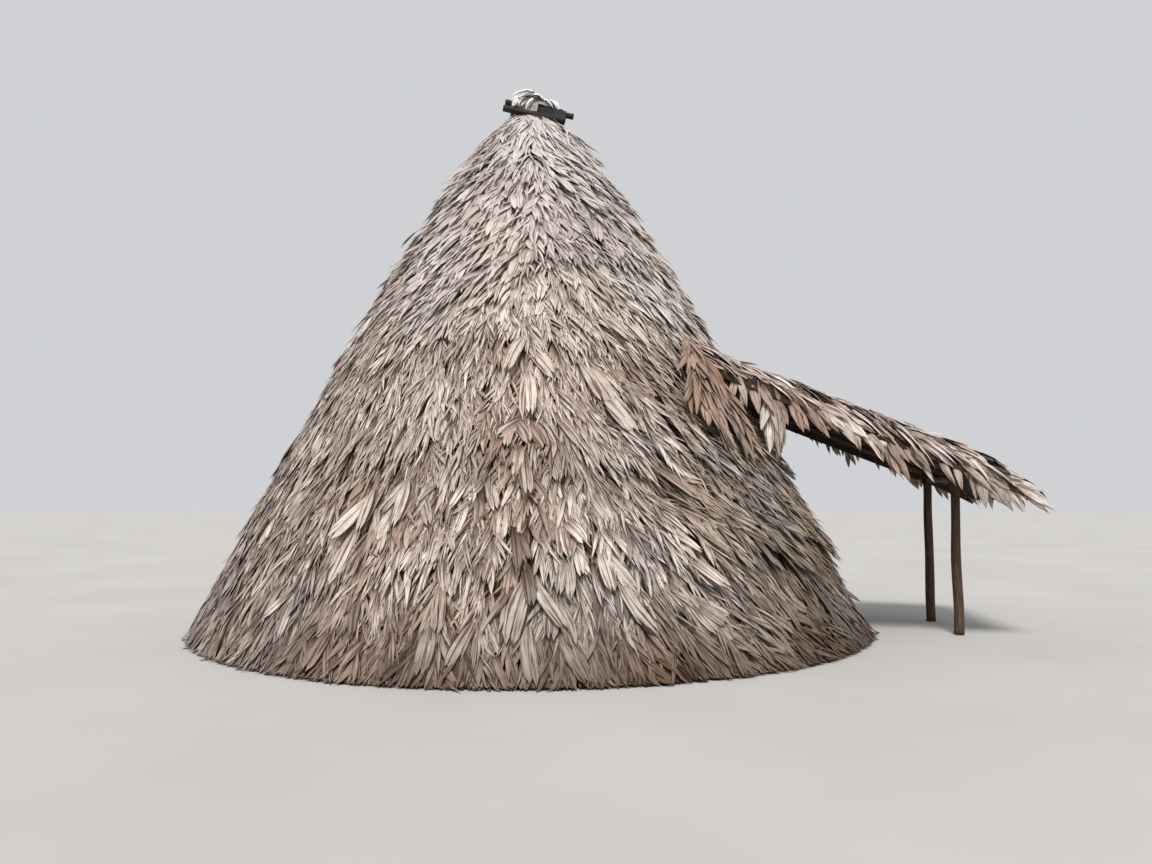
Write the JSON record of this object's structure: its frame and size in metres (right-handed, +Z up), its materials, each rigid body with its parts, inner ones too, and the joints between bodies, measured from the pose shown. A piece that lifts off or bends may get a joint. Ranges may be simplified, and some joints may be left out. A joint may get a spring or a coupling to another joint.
{
  "type": "conical thatched house",
  "caption": "Conical house thatched with palm leaf down to the ground, with a tied log crown and leaf cap at the apex and a low thatched awning on posts over its doorway.",
  "frame": {"origin": "middle of the footprint, awning included, on the ground", "axes": "+X out through the doorway under the awning, +Z up"},
  "size_m": [9.619, 7.9, 6.7014],
  "materials": {
    "thatch": "dry palm leaf, weathered grey-beige",
    "awning_thatch": "dry palm leaf, warmer brown beneath",
    "poles": "round poles with the bark peeled, aged brown",
    "crown_logs": "weathered near-black log"
  },
  "bodies": {
    "root": {"thatch_panel_01": "thatch", "thatch_panel_02": "thatch", "thatch_panel_03": "thatch", "thatch_panel_04": "thatch", "thatch_panel_05": "thatch", "thatch_panel_06": "thatch", "thatch_panel_07": "thatch", "thatch_panel_08": "thatch", "thatch_panel_09": "thatch", "thatch_panel_10": "thatch", "thatch_panel_11": "thatch", "thatch_over_door": "thatch", "thatch_door_left": "thatch", "thatch_door_right": "thatch", "rafter_01": "poles", "rafter_02": "poles", "rafter_03": "poles", "rafter_04": "poles", "rafter_05": "poles", "rafter_06": "poles", "rafter_07": "poles", "rafter_08": "poles", "rafter_09": "poles", "rafter_10": "poles", "rafter_11": "poles", "rafter_12": "poles", "hoop_low": "poles", "hoop_middle": "poles", "hoop_high": "poles", "hoop_top": "poles", "awning_thatch": "awning_thatch", "awning_pole_left": "poles", "awning_pole_right": "poles", "awning_batten_upper": "poles", "awning_batten_middle": "poles", "awning_batten_lower": "poles", "awning_beam": "poles", "awning_post_left": "poles", "awning_post_right": "poles", "crown_log_front": "crown_logs", "crown_log_back": "crown_logs", "crown_log_front_upper": "crown_logs", "crown_log_back_upper": "crown_logs", "crown_board": "crown_logs", "crown_thatch": "thatch"}
  },
  "joints": []
}
